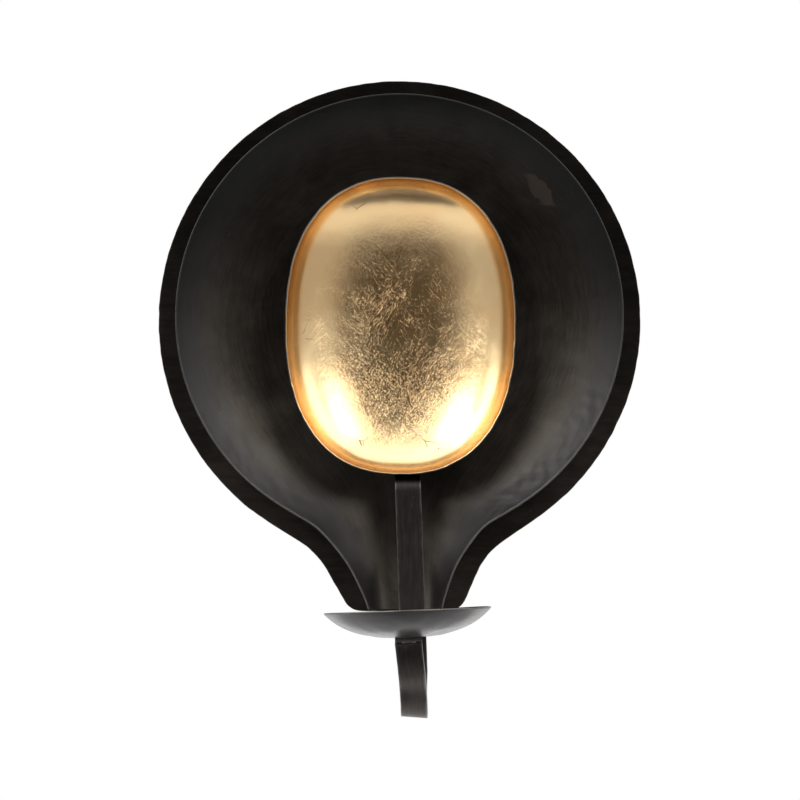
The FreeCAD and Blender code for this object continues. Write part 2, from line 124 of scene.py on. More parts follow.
def object_z(z):
    """Height in object coordinates of a height in millimetres above the plate's centre."""
    return (z + CENTRE_Z) * MM


def to_object(name, points, faces, attributes=None):
    """A mesh object from points in millimetres about the plate's centre."""
    mesh = bpy.data.meshes.new(name)
    points = np.asarray(points, float)
    placed = (points + np.array([0.0, 0.0, CENTRE_Z])) * MM
    mesh.from_pydata(placed.tolist(), [], [list(face) for face in faces])
    for key, values in (attributes or {}).items():
        values = np.asarray(values, float)
        if values.ndim == 2:
            mesh.attributes.new(key, "FLOAT_VECTOR", "POINT").data.foreach_set("vector", values.ravel())
        else:
            mesh.attributes.new(key, "FLOAT", "POINT").data.foreach_set("value", values)
    mesh.validate()
    mesh.polygons.foreach_set("use_smooth", [True] * len(mesh.polygons))
    made = bpy.data.objects.new(name, mesh)
    bpy.context.scene.collection.objects.link(made)
    return made


def lattice(rows, columns):
    """Quads between rows of points, each row closed on itself."""
    faces = []
    for r in range(rows - 1):
        low = r * columns
        for c in range(columns):
            d = (c + 1) % columns
            faces.append((low + c, low + d, low + columns + d, low + columns + c))
    return faces


def closed_faces(rows, columns):
    """Quads between rows of points, with a lid on the first row and on the last."""
    faces = lattice(rows, columns)
    faces.append(tuple(range(columns))[::-1])
    faces.append(tuple(range((rows - 1) * columns, rows * columns)))
    return faces


def rounded_lip(first, last, ahead):
    """Rows round a rim from the first skin's edge to the last one's. Ahead is half a sheet long."""
    middle = (first + last) / 2
    half = (first - last) / 2
    rows = []
    for step in range(1, LIP_STEPS):
        a = math.pi * step / LIP_STEPS
        rows.append(middle + half * math.cos(a) + ahead * math.sin(a))
    return rows


def waves(points, size, seed, count=28):
    """Smooth random field over points, with humps about size long and a spread of about 1."""
    rng = np.random.RandomState(seed)
    points = np.asarray(points, float)
    total = np.zeros(len(points))
    for _ in range(count):
        way = rng.normal(size=points.shape[1])
        way *= 2 * math.pi / size * rng.uniform(0.55, 1.5) / np.linalg.norm(way)
        total += np.sin(points @ way + rng.uniform(0, 2 * math.pi))
    return total * math.sqrt(2 / count)


def smooth(low, high, value):
    """Soft step from 0 at low to 1 at high."""
    t = np.clip((value - low) / (high - low), 0, 1)
    return t * t * (3 - 2 * t)


def resample(points, count):
    """The closed line through many points, cut into equal lengths."""
    closed = np.vstack([points, points[:1]])
    run = np.concatenate([[0], np.cumsum(np.linalg.norm(np.diff(closed, axis=0), axis=1))])
    at = np.linspace(0, run[-1], count, endpoint=False)
    return np.column_stack([np.interp(at, run, closed[:, k]) for k in range(closed.shape[1])])


def closed_spline(points, count):
    """Smooth closed curve through points."""
    p = np.asarray(points, float)
    n = len(p)
    system = 4 * np.eye(n) + np.roll(np.eye(n), 1, 0) + np.roll(np.eye(n), -1, 0)
    slope = np.linalg.solve(system, 3 * (np.roll(p, -1, 0) - np.roll(p, 1, 0)))
    t = np.linspace(0, n, count, endpoint=False)
    i = t.astype(int)
    f = (t - i)[:, None]
    j = (i + 1) % n
    return (
        (2 * f ** 3 - 3 * f ** 2 + 1) * p[i] + (f ** 3 - 2 * f ** 2 + f) * slope[i]
        + (3 * f ** 2 - 2 * f ** 3) * p[j] + (f ** 3 - f ** 2) * slope[j]
    )


def lean(z):
    """Sideways drift of the tail at height z."""
    return LEAN_SLOPE * np.maximum(0.0, LEAN_START - z)


def spine_of(outline, start):
    """What an outline is drawn in to: the centre, and below start the middle of the tail."""
    low = -SPINE_SOFTNESS * np.log1p(np.exp(-(outline[:, 1] + start) / SPINE_SOFTNESS))
    return np.column_stack([lean(low), low])


def arc_corner(before, corner, after, radius, steps=24):
    """Points round a rounded corner."""
    back = (before - corner) / np.linalg.norm(before - corner)
    ahead = (after - corner) / np.linalg.norm(after - corner)
    half = math.acos(np.clip(back @ ahead, -1, 1)) / 2
    middle = corner + (back + ahead) / np.linalg.norm(back + ahead) * radius / math.sin(half)
    start = corner + back * radius / math.tan(half) - middle
    end = corner + ahead * radius / math.tan(half) - middle
    turn = math.atan2(start[0] * end[1] - start[1] * end[0], start @ end)
    points = []
    for i in range(steps + 1):
        a = turn * i / steps
        c, s = math.cos(a), math.sin(a)
        points.append(middle + np.array([c * start[0] - s * start[1], s * start[0] + c * start[1]]))
    return points


def finish_piece(made, slot, *nodes, bevel=0.0):
    """Rides the piece on the body and hides what it stands for."""
    if bevel:
        add = made.modifiers.new("edge_break", "BEVEL")
        add.width = bevel * MM
        add.segments = 2
        add.limit_method = "ANGLE"
        add.angle_limit = math.radians(50)
    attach(made, "root")
    if nodes:
        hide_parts(*nodes)


# ---------------------------------------------------------------- back plate

def plate_outline(count):
    """Closed outline of the plate: a disc that runs through two waists into a square foot."""
    flare = math.radians(FLARE_ANGLE)
    leave = np.array([PLATE_RADIUS * math.sin(flare), -PLATE_RADIUS * math.cos(flare)])
    foot_half, foot_z = TAIL_FOOT
    middle = np.array([lean(foot_z), foot_z])
    flanks = []
    for side in (1, -1):
        start = np.array([side * leave[0], leave[1]])
        waist = start + FLANK_LENGTH * np.array([-side * math.cos(flare), -math.sin(flare)])
        waist[0] += lean(waist[1])
        foot = np.array([side * foot_half + lean(foot_z), foot_z])
        waist_arc = arc_corner(start, waist, foot, WAIST_RADIUS)
        foot_arc = arc_corner(waist, foot, middle, FOOT_RADIUS)
        flanks.append([start] + waist_arc + foot_arc)
    disc = []
    sweep = 2 * math.pi - 2 * flare
    for i in range(1, DISC_STEPS):
        a = flare + sweep * i / DISC_STEPS
        disc.append(np.array([PLATE_RADIUS * math.sin(a), -PLATE_RADIUS * math.cos(a)]))
    return resample(np.array(disc + flanks[1] + flanks[0][::-1]), count)


def inward(outline):
    """Unit directions to the inside of a closed outline."""
    ahead = np.roll(outline, -1, 0) - np.roll(outline, 1, 0)
    ahead /= np.linalg.norm(ahead, axis=1)[:, None]
    side = np.column_stack([-ahead[:, 1], ahead[:, 0]])
    area = np.sum(outline[:, 0] * np.roll(outline[:, 1], -1) - outline[:, 1] * np.roll(outline[:, 0], -1))
    return side if area > 0 else -side


def build_plate():
    outline = plate_outline(PLATE_COUNT)
    normal = inward(outline)
    # hand-cut edge: always inside the true outline
    ragged = 0.16 + 0.07 * waves(outline, 9.0, 3) + 0.05 * waves(outline, 31.0, 4)
    outline = outline + normal * np.clip(ragged, 0.0, 0.5)[:, None]
    spine = spine_of(outline, PLATE_SPINE_START)
    front = []
    for degrees in (0, 30, 60, 90):
        t = math.radians(degrees)
        inset = PLATE_EDGE_BREAK * (1 - math.cos(t))
        front.append((inset, PLATE_FRONT + PLATE_EDGE_BREAK * (1 - math.sin(t))))
    rear = [(inset, PLATE_REAR + PLATE_FRONT - y) for inset, y in front]

    def rings(face_y, edge_profile):
        """One face's rings from the edge to the middle, each with its depth and distance from the edge."""
        made = []
        for distance, y in edge_profile:
            made.append((outline + normal * distance, y, distance))
        for distance in PLATE_INSETS:
            made.append((outline + normal * distance, face_y, distance))
        base = outline + normal * PLATE_INSETS[-1]
        for share in PLATE_SHARES:
            made.append((spine + (base - spine) * share / PLATE_INSET_SHARE, face_y, FAR_FROM_EDGE))
        return made

    order = rings(PLATE_REAR, rear)[::-1] + rings(PLATE_FRONT, front)
    points, edge = [], []
    for ring, y, distance in order:
        points.append(np.column_stack([ring[:, 0], np.full(PLATE_COUNT, y), ring[:, 1]]))
        edge.append(np.full(PLATE_COUNT, distance))
    faces = closed_faces(len(order), PLATE_COUNT)
    made = to_object("back_plate_sheet", np.vstack(points), faces, {"edge": np.concatenate(edge)})
    fix_normals(made)
    return made


def fix_normals(made):
    """Turns every face outward."""
    mesh = bmesh.new()
    mesh.from_mesh(made.data)
    bmesh.ops.recalc_face_normals(mesh, faces=mesh.faces)
    mesh.to_mesh(made.data)
    mesh.free()


# ---------------------------------------------------------------- front dish

def dish_rim(count):
    """Closed line of the dish's rim, its tail still running on past the cut."""
    right = list(reversed(DISH_TAIL))
    start = math.radians(DISH_FLARE_ANGLE)
    for i in range(DISH_ROUND_STEPS):
        a = start + (math.pi - start) * i / DISH_ROUND_STEPS
        right.append((DISH_RADIUS * math.sin(a), -DISH_RADIUS * math.cos(a)))
    rim = [(lean(DISH_TAIL_END), DISH_TAIL_END)]
    rim += [(x + lean(z), z) for x, z in right]
    rim.append((0.0, DISH_RADIUS))
    rim += [(lean(z) - x, z) for x, z in reversed(right)]
    return resample(closed_spline(rim, SPLINE_POINTS), count)


def dish_rise(share):
    """Height of the dish above the plate, from its spine at share 0 to its rim at share 1."""
    way = np.maximum(0.0, (share - DISH_FLOOR) / (1 - DISH_FLOOR))
    return DISH_DEPTH * (DISH_SOFT_RISE * way ** 2 + (1 - DISH_SOFT_RISE) * way ** 5)


def dish_unevenness(points, share_at, turn_at):
    """Hammer marks where the lower shoulders were beaten round, and a slow unevenness everywhere."""
    right_shoulder = smooth(100, 118, turn_at) * (1 - smooth(146, 160, turn_at))
    left_shoulder = smooth(202, 214, turn_at) * (1 - smooth(238, 250, turn_at))
    shoulders = right_shoulder + 0.55 * left_shoulder
    band = smooth(0.84, 0.93, share_at) * (1 - 0.6 * smooth(0.975, 1.0, share_at))
    flattened = points * [1, 0.3, 1]
    dents = 0.085 * waves(flattened, 11.0, 11) + 0.03 * waves(flattened, 5.2, 12)
    slow = 0.09 * waves(points, 42.0, 13) + 0.02 * waves(points, 19.0, 14)
    near_rim = smooth(0.8, 1.0, share_at)
    away_from_spine = smooth(0.3, 0.55, share_at)
    offset = (dents * band * shoulders + slow * (1 - 0.5 * near_rim)) * away_from_spine
    return np.clip(offset, -DISH_MOST_DENT, DISH_MOST_DENT)


def cut_foot(made):
    """Cuts the dish's tail square and closes the cut sheet."""
    mesh = bmesh.new()
    mesh.from_mesh(made.data)
    everything = list(mesh.verts) + list(mesh.edges) + list(mesh.faces)
    cut = bmesh.ops.bisect_plane(
        mesh, geom=everything, plane_co=Vector((0, 0, object_z(DISH_CUT))),
        plane_no=Vector((0, 0, -1)), clear_outer=True,
    )
    edges = [e for e in cut["geom_cut"] if isinstance(e, bmesh.types.BMEdge)]
    bmesh.ops.holes_fill(mesh, edges=edges, sides=0)
    bmesh.ops.recalc_face_normals(mesh, faces=mesh.faces)
    mesh.to_mesh(made.data)
    mesh.free()


def build_dish():
    count = DISH_COUNT
    rim = dish_rim(count)
    spine = spine_of(rim, DISH_SPINE_START)
    reach = np.linalg.norm(rim - spine, axis=1)
    shares = np.concatenate([
        np.linspace(0.08, 0.34, 8), np.linspace(0.36, 0.8, 26), np.linspace(0.81, 0.995, 32), [1.0],
    ])
    even = []
    for share in shares:
        flat = spine + (rim - spine) * share
        rise = np.full(count, dish_rise(share))
        even.append(np.column_stack([flat[:, 0], PLATE_FRONT - rise, flat[:, 1]]))
    even = np.array(even)
    turn = np.degrees(np.arctan2(rim[:, 0], rim[:, 1])) % 360
    points = even.reshape(-1, 3)
    offset = dish_unevenness(points, np.repeat(shares, count), np.tile(turn, len(shares)))
    along = np.roll(even, -1, 1) - np.roll(even, 1, 1)
    across = np.gradient(even, axis=0)
    normals = np.cross(across, along)
    normals /= np.linalg.norm(normals, axis=2)[:, :, None]
    normals = np.where(normals[:, :, 1:2] > 0, -normals, normals)
    outside = (points + normals.reshape(-1, 3) * offset[:, None]).reshape(even.shape)
    inside = outside + normals * DISH_SHEET
    laid_flat = shares < DISH_LAID_FLAT
    inside[laid_flat, :, 1] = DISH_FRONT
    outside[laid_flat, :, 1] = PLATE_FRONT
    # pull both lips back so that the rounded edge ends level with the sheet's true rim
    tip = outside[-1] - outside[-2]
    tip /= np.linalg.norm(tip, axis=1)[:, None]
    ahead = tip * DISH_SHEET / 2
    outside[-1] -= ahead
    inside[-1] = outside[-1] + normals[-1] * DISH_SHEET
    lip = rounded_lip(inside[-1], outside[-1], ahead)
    rows = list(inside) + lip + list(outside[::-1])
    distance = (1 - shares)[:, None] * reach[None, :]
    edge = np.concatenate([distance.ravel(), np.zeros(len(lip) * count), distance[::-1].ravel() + 0.5])
    around = np.linspace(0, 2 * math.pi, count, endpoint=False)
    flow = []
    for share in np.concatenate([shares, np.full(len(lip), 1.0), shares[::-1]]):
        flow.append(np.column_stack([0.13 * np.cos(around), 0.13 * np.sin(around), share * reach * MM]))
    made = to_object(
        "front_dish_sheet", np.vstack(rows), closed_faces(len(rows), count),
        {"edge": edge, "flow": np.vstack(flow)},
    )
    cut_foot(made)
    return made


# ---------------------------------------------------------------- reflector bowl

def bowl_outline(count):
    """Superellipse of the bowl's rim about its own centre."""
    angles = np.linspace(0, 2 * math.pi, BOWL_OUTLINE_POINTS, endpoint=False)
    power = 2 / BOWL_SQUARENESS
    x = np.sign(np.cos(angles)) * np.abs(np.cos(angles)) ** power * BOWL_HALF[0]
    z = np.sign(np.sin(angles)) * np.abs(np.sin(angles)) ** power * BOWL_HALF[1]
    return resample(np.column_stack([x, z]), count)


def build_bowl():
    """The bowl, and for each face 0 where it is gilt and 1 outside."""
    count = BOWL_COUNT
    outline = bowl_outline(count)
    normal = inward(outline)
    shares = np.concatenate([np.linspace(0.03, 0.9, 54), np.linspace(0.908, 0.992, 16), [0.997, 1.0]])
    floor_height = math.sqrt(1 - BOWL_FLOOR ** BOWL_WALL_POWER)
    wall = np.sqrt(np.maximum(0.0, 1 - shares ** BOWL_WALL_POWER)) / floor_height
    wall = np.minimum(wall, 1.0)
    # hand-trimmed rim: runs a little in and out
    trim = np.clip(0.20 + 0.07 * waves(outline, 16.0, 21) + 0.035 * waves(outline, 4.5, 22), 0.0, 0.6)
    level = np.clip(0.22 + 0.14 * waves(outline, 60.0, 23) + 0.04 * waves(outline, 9.0, 24), 0.0, 0.8)

    def surface(inset, depth):
        """One skin of the sheet as rows from the floor to the rim."""
        made = []
        for share, rise in zip(shares, wall):
            shape = (outline + normal * inset) * share
            near = smooth(0.955, 1.0, share)
            shape = shape + normal * (trim * near)[:, None]
            y = BOWL_RIM + depth * rise + level * near
            made.append(np.column_stack([BOWL_CENTRE[0] + shape[:, 0], y, BOWL_CENTRE[1] + shape[:, 1]]))
        return np.array(made)

    outer = surface(0.0, BOWL_BACK - BOWL_RIM)
    inner = surface(BOWL_SHEET, BOWL_BACK - BOWL_SHEET - BOWL_RIM)
    # slow unevenness of the beaten sheet; reshape gives a view, so this moves the skins themselves
    share_at = np.repeat(shares, count)
    fade = smooth(0.02, 0.2, share_at) * (1 - smooth(0.9, 1.0, share_at))
    for skin in (inner, outer):
        points = skin.reshape(-1, 3)
        push = 0.045 * waves(points[:, [0, 2]], 34.0, 25) + 0.010 * waves(points[:, [0, 2]], 13.0, 26)
        push = -np.abs(push) if skin is outer else push - 0.05
        points[:, 1] += push * fade
    outer[-1, :, 1] += BOWL_SHEET / 2
    inner[-1, :, 1] += BOWL_SHEET / 2
    lip = rounded_lip(inner[-1], outer[-1], np.array([0.0, -1.0, 0.0]) * BOWL_SHEET / 2)
    rows = list(inner) + lip + list(outer[::-1])
    reach = float(np.mean(BOWL_HALF))
    distance = np.concatenate([(1 - shares) * reach, np.zeros(len(lip)), (1 - shares[::-1]) * reach + 0.6])
    made = to_object(
        "reflector_bowl_sheet", np.vstack(rows), closed_faces(len(rows), count),
        {"edge": np.repeat(distance, count)},
    )
    fix_normals(made)
    gilt_faces = (len(shares) + LIP_STEPS // 2 - 1) * count
    sheet_faces = (len(rows) - 1) * count
    lids = [0, 1]
    return made, [0] * gilt_faces + [1] * (sheet_faces - gilt_faces) + lids


# ---------------------------------------------------------------- arm

TANG_TOP = 20.0                # upper end of the bar, behind the bowl
STRAP_Y = -37.5                # centre of the bar where it passes the tail
JOGGLE_END = -108.0            # the bar hangs straight below this height
JOGGLE_ANGLE = 50.0
JOGGLE_RADIUS = 12.0
LOOP_BOTTOM = -242.27          # 0.03 above the CAD's, so that the bar stays inside its box
LOOP_RADIUS = 25.25
TAB_RADIUS = 4.0
TAB_END = -106.0
STRAP_X = (1.5, 9.0)           # bar centre at the plate's centre height and at the loop's start
LOOP_LEG_X = 7.2               # front leg centre where it leaves the loop
LOOP_LEG_LEAN = 0.1085         # sideways run of the front leg for each unit of height
LEG_YAW = -12.0
LEG_UNTWIST = 0.4              # share of the yaw the front leg loses on its way up
LOOP_YAW = 4.0
BEND_STEP = 3.0                # degrees between two sections in a bend
STRAIGHT_STEP = 3.0            # length between two sections in a straight run
CORNER_STEPS = 4               # steps round each long edge of the bar
WIDE_STEPS = 10                # steps across each wide face of the bar


def pan_angles():
    """Slope of the pan's side where its two arcs meet, and at the rim."""
    change = math.asin((PAN_ARC_CHANGE - PAN_FLAT) / PAN_INNER_ARC)
    rim = math.asin(math.sin(change) + (PAN_RADIUS - PAN_ARC_CHANGE) / PAN_OUTER_ARC)
    return change, rim


def pan_bottom():
    """Height of the pan's underside."""
    change, rim = pan_angles()
    depth = PAN_INNER_ARC * (1 - math.cos(change)) + PAN_OUTER_ARC * (math.cos(change) - math.cos(rim))
    return PAN_RIM_HEIGHT - depth


def arm_line():
    """Centre line of the bar: place, heading and roll of each section."""
    tang_y = DISH_FRONT - BAR_THICK / 2
    bend = math.radians(JOGGLE_ANGLE)
    slant = (tang_y - STRAP_Y - 2 * JOGGLE_RADIUS * (1 - math.cos(bend))) / math.sin(bend)
    joggle_start = JOGGLE_END + 2 * JOGGLE_RADIUS * math.sin(bend) + slant * math.cos(bend)
    low = LOOP_BOTTOM + LOOP_RADIUS
    tab_z = pan_bottom() - BAR_THICK / 2
    leg_y = STRAP_Y - 2 * LOOP_RADIUS
    moves = [
        ("tang", TANG_TOP - joggle_start, 0, 0),
        ("tang", 0, JOGGLE_RADIUS, JOGGLE_ANGLE),
        ("strap", slant, 0, 0),
        ("strap", 0, JOGGLE_RADIUS, -JOGGLE_ANGLE),
        ("strap", JOGGLE_END - low, 0, 0),
        ("loop", 0, LOOP_RADIUS, 180.0),
        ("leg", tab_z - TAB_RADIUS - low, 0, 0),
        ("tab", 0, TAB_RADIUS, -90.0),
        ("tab", leg_y - TAB_RADIUS - TAB_END, 0, 0),
    ]
    y, z, heading = tang_y, TANG_TOP, 0.0
    path = [(y, z, heading, "tang")]
    for name, length, radius, turn in moves:
        steps = max(2, round(abs(turn) / BEND_STEP if turn else length / STRAIGHT_STEP))
        for _ in range(steps):
            part = turn / steps
            middle = math.radians(heading + part / 2)
            chord = 2 * radius * math.sin(math.radians(abs(part) / 2)) if turn else length / steps
            y -= chord * math.sin(middle)
            z -= chord * math.cos(middle)
            heading += part
            path.append((y, z, heading, name))
    top_x, low_x = STRAP_X
    loop_length = math.pi * LOOP_RADIUS
    slope = (top_x - low_x) / low
    made = []
    for y, z, heading, name in path:
        if name in ("tang", "strap"):
            x = top_x + (low_x - top_x) * z / low
            roll = LOOP_YAW * max(0.0, (JOGGLE_END - z) / (JOGGLE_END - low))
        elif name == "loop":
            t = heading / 180
            x = (2 * t ** 3 - 3 * t ** 2 + 1) * low_x + (3 * t ** 2 - 2 * t ** 3) * LOOP_LEG_X
            x -= (t ** 3 - 2 * t ** 2 + t) * slope * loop_length
            x -= (t ** 3 - t ** 2) * LOOP_LEG_LEAN * loop_length
            roll = LOOP_YAW + (LEG_YAW - LOOP_YAW) * t
        elif name == "leg":
            x = LOOP_LEG_X - LOOP_LEG_LEAN * (z - low)
            roll = LEG_YAW * (1 - LEG_UNTWIST * (z - low) / (tab_z - TAB_RADIUS - low))
        else:
            x = PAN_CENTRE[0]
            bent = (180 - heading) / 90
            roll = (1 - LEG_UNTWIST) * LEG_YAW * (1 - bent) + PAN_TILT * bent
        made.append((np.array([x, y, z]), heading, roll))
    return made


def bar_section():
    """Rounded rectangle across the bar as (across, out), and each point's distance to a long edge."""
    half_width, half_thick = BAR_WIDTH / 2, BAR_THICK / 2
    w, t = half_width - BAR_EDGE, half_thick - BAR_EDGE
    points = []
    for centre_x, centre_y, start in ((w, t, 0), (-w, t, 90), (-w, -t, 180), (w, -t, 270)):
        for k in range(CORNER_STEPS + 1):
            a = math.radians(start + 90 * k / CORNER_STEPS)
            points.append((centre_x + BAR_EDGE * math.cos(a), centre_y + BAR_EDGE * math.sin(a)))
        if start in (0, 180):
            side = 1 if start == 0 else -1
            for k in range(1, WIDE_STEPS):
                points.append((side * w * (1 - 2 * k / WIDE_STEPS), side * half_thick))
    distance = []
    for across, out in points:
        on_face = abs(out) > half_thick - BAR_EDGE * 0.9
        distance.append(max(0.0, w - abs(across)) if on_face else 0.0)
    return np.array(points), np.array(distance)


def build_arm():
    line = arm_line()
    section, distance = bar_section()
    count = len(section)
    rows, flow, run = [], [], 0.0
    for i, (place, heading, roll) in enumerate(line):
        before, after = line[max(0, i - 1)][0], line[min(len(line) - 1, i + 1)][0]
        if i:
            run += np.linalg.norm(place - line[i - 1][0])
        a = math.radians(heading)
        drift = (after - before)[0] / np.linalg.norm(after - before)
        tangent = np.array([drift, -math.sin(a), -math.cos(a)])
        tangent /= np.linalg.norm(tangent)
        across = np.array([1.0, 0, 0]) - tangent * tangent[0]
        across /= np.linalg.norm(across)
        out = np.cross(tangent, across)
        c, s = math.cos(math.radians(roll)), math.sin(math.radians(roll))
        across, out = across * c + out * s, out * c - across * s
        rows.append(place + section[:, :1] * across + section[:, 1:] * out)
        flow.append(np.column_stack([section[:, 0], section[:, 1], np.full(count, run)]) * MM)
    points = np.vstack(rows)
    wobble = waves(points, 26.0, 31) * 0.05 + waves(points, 7.0, 32) * 0.02
    centre_x = np.repeat([place[0] for place, _, _ in line], count)
    points[:, 0] -= np.abs(wobble) * np.sign(points[:, 0] - centre_x)
    faces = closed_faces(len(rows), count)
    edge = np.tile(distance, len(rows))
    edge[:count] = 0.0
    edge[-count:] = 0.0
    made = to_object("arm_strap_bar", points, faces, {"edge": edge, "flow": np.vstack(flow)})
    fix_normals(made)
    return made


# ---------------------------------------------------------------- drip pan

def place_on_pan(points):
    """From the pan's own axis, underside at height 0, to where the pan sits."""
    a = math.radians(PAN_TILT)
    x = points[:, 0] * math.cos(a) - points[:, 2] * math.sin(a)
    z = points[:, 0] * math.sin(a) + points[:, 2] * math.cos(a)
    return np.column_stack([x + PAN_CENTRE[0], points[:, 1] + PAN_CENTRE[1], z + pan_bottom()])


def revolve(profile, count):
    """Rings of points about Z from a profile of (radius, height)."""
    around = np.linspace(0, 2 * math.pi, count, endpoint=False)
    return [np.column_stack([r * np.cos(around), r * np.sin(around), np.full(count, h)]) for r, h in profile]


def build_pan():
    change, rim = pan_angles()

    def side(lift):
        """Profile of one skin from near the axis to the rim, as radius and height."""
        line = [(r, lift) for r in (2.0, 4.0, 6.0)]
        inner, outer = PAN_INNER_ARC - lift, PAN_OUTER_ARC - lift
        for i in range(PAN_INNER_STEPS + 1):
            a = change * i / PAN_INNER_STEPS
            line.append((PAN_FLAT + inner * math.sin(a), PAN_INNER_ARC - inner * math.cos(a)))
        centre_x = PAN_ARC_CHANGE - PAN_OUTER_ARC * math.sin(change)
        centre_z = PAN_INNER_ARC - (PAN_INNER_ARC - PAN_OUTER_ARC) * math.cos(change)
        for i in range(1, PAN_OUTER_STEPS + 1):
            a = change + (rim - change) * i / PAN_OUTER_STEPS
            line.append((centre_x + outer * math.sin(a), centre_z - outer * math.cos(a)))
        return np.array(line)

    under, upper = side(0.0), side(PAN_SHEET)
    ahead = np.array([math.cos(rim), math.sin(rim)]) * PAN_SHEET / 2
    under[-1] -= ahead
    upper[-1] -= ahead
    lip = rounded_lip(under[-1], upper[-1], ahead)
    rings = revolve(list(under) + lip + list(upper[::-1]), PAN_COUNT)
    points = np.vstack(rings)
    radius = np.hypot(points[:, 0], points[:, 1])
    share = radius / PAN_RADIUS
    around = np.arctan2(points[:, 1], points[:, 0])
    # the rim waves very slightly, and the beaten floor is not quite even
    rim_wave = 0.22 * np.sin(2 * around + 0.9) - 0.25 + 0.12 * np.sin(3 * around)
    points[:, 2] += smooth(0.5, 1.0, share) * rim_wave
    on_floor = smooth(0.15, 0.35, share) * (1 - smooth(0.85, 1, share))
    points[:, 2] += 0.06 * waves(points[:, :2], 14.0, 41) * on_floor
    edge = np.clip(PAN_RADIUS - radius - 0.1, 0, None)
    flow = np.column_stack([np.cos(around) * 0.03, np.sin(around) * 0.03, radius * MM])
    faces = closed_faces(len(rings), PAN_COUNT)
    made = to_object("drip_pan_sheet", place_on_pan(points), faces, {"edge": edge, "flow": flow})
    fix_normals(made)
    return made


# ---------------------------------------------------------------- materials

class Graph:
    """Small helper to write a shader graph as expressions."""

    def __init__(self, tree):
        self.tree = tree
        tree.nodes.clear()

    def put(self, socket, value):
        if isinstance(value, bpy.types.NodeSocket):
            self.tree.links.new(value, socket)
        elif isinstance(value, (tuple, list)) and len(value) == 3 and socket.type == "RGBA":
            socket.default_value = (*value, 1.0)
        else:
            socket.default_value = value

    def node(self, kind, inputs=(), **settings):
        made = self.tree.nodes.new(kind)
        for key, value in settings.items():
            setattr(made, key, value)
        for key, value in dict(inputs).items():
            self.put(made.inputs[key], value)
        return made

    def math(self, operation, a, b=0.0, clamp=False):
        return self.node("ShaderNodeMath", {0: a, 1: b}, operation=operation, use_clamp=clamp).outputs[0]

    def plus(self, a, b):
        return self.math("ADD", a, b)

    def times(self, a, b):
        return self.math("MULTIPLY", a, b)

    def swing(self, value, amount):
        """How far value is off one half, times amount."""
        return self.times(self.math("SUBTRACT", value, 0.5), amount)

    def most(self, a, b):
        return self.math("MAXIMUM", a, b)

    def shift(self, vector, by):
        return self.node("ShaderNodeVectorMath", {0: vector, 1: by}, operation="ADD").outputs[0]

    def length(self, vector):
        return self.node("ShaderNodeVectorMath", {0: vector}, operation="LENGTH").outputs["Value"]

    def span(self, value, low, high, to_low=0.0, to_high=1.0, kind="SMOOTHSTEP"):
        made = self.node(
            "ShaderNodeMapRange",
            {"Value": value, "From Min": low, "From Max": high, "To Min": to_low, "To Max": to_high},
            interpolation_type=kind,
        )
        return made.outputs["Result"]

    def mix(self, share, a, b):
        made = self.node("ShaderNodeMix", data_type="RGBA")
        self.put(made.inputs["Factor"], share)
        self.put(made.inputs[6], a)
        self.put(made.inputs[7], b)
        return made.outputs[2]

    def scale(self, vector, sizes):
        return self.node("ShaderNodeVectorMath", {0: vector, 1: sizes}, operation="MULTIPLY").outputs[0]

    def turn(self, vector, angle):
        """Turns a vector in the plane of the plate, in degrees."""
        made = self.node("ShaderNodeVectorRotate", {"Vector": vector, "Angle": math.radians(angle)})
        made.inputs["Axis"].default_value = (0.0, 1.0, 0.0)
        return made.outputs[0]

    def noise(self, vector, scale, detail=3.0, rough=0.5, twist=0.0):
        made = self.node(
            "ShaderNodeTexNoise",
            {"Vector": vector, "Scale": scale, "Detail": detail, "Roughness": rough, "Distortion": twist},
        )
        return made.outputs[0]

    def wobble(self, vector, scale, detail, size):
        """Random vectors whose parts lie between 0 and size."""
        made = self.node("ShaderNodeTexNoise", {"Vector": vector, "Scale": scale, "Detail": detail})
        return self.scale(made.outputs[1], (size, size, size))

    def cells(self, vector, scale, feature="F1"):
        """Distance to the nearest of random points, or to the border between their cells."""
        made = self.node("ShaderNodeTexVoronoi", {"Vector": vector, "Scale": scale}, feature=feature)
        return made.outputs["Distance"]

    def attribute(self, name, output="Fac"):
        return self.node("ShaderNodeAttribute", attribute_name=name).outputs[output]

    def bump(self, height, depth, after=None):
        inputs = {"Height": height, "Distance": depth, "Strength": 1.0}
        if after is not None:
            inputs["Normal"] = after
        return self.node("ShaderNodeBump", inputs).outputs["Normal"]

    def place(self):
        return self.node("ShaderNodeTexCoord").outputs["Object"]


def new_material(name):
    made = bpy.data.materials.new(name)
    made.use_nodes = True
    return made, Graph(made.node_tree)


def close_material(g, colour, rough, normal, metal=1.0):
    """Ends a material's graph with its shader."""
    inputs = {"Base Color": colour, "Roughness": rough, "Metallic": metal, "Normal": normal}
    shader = g.node("ShaderNodeBsdfPrincipled", inputs)
    out = g.node("ShaderNodeOutputMaterial")
    g.tree.links.new(shader.outputs["BSDF"], out.inputs["Surface"])


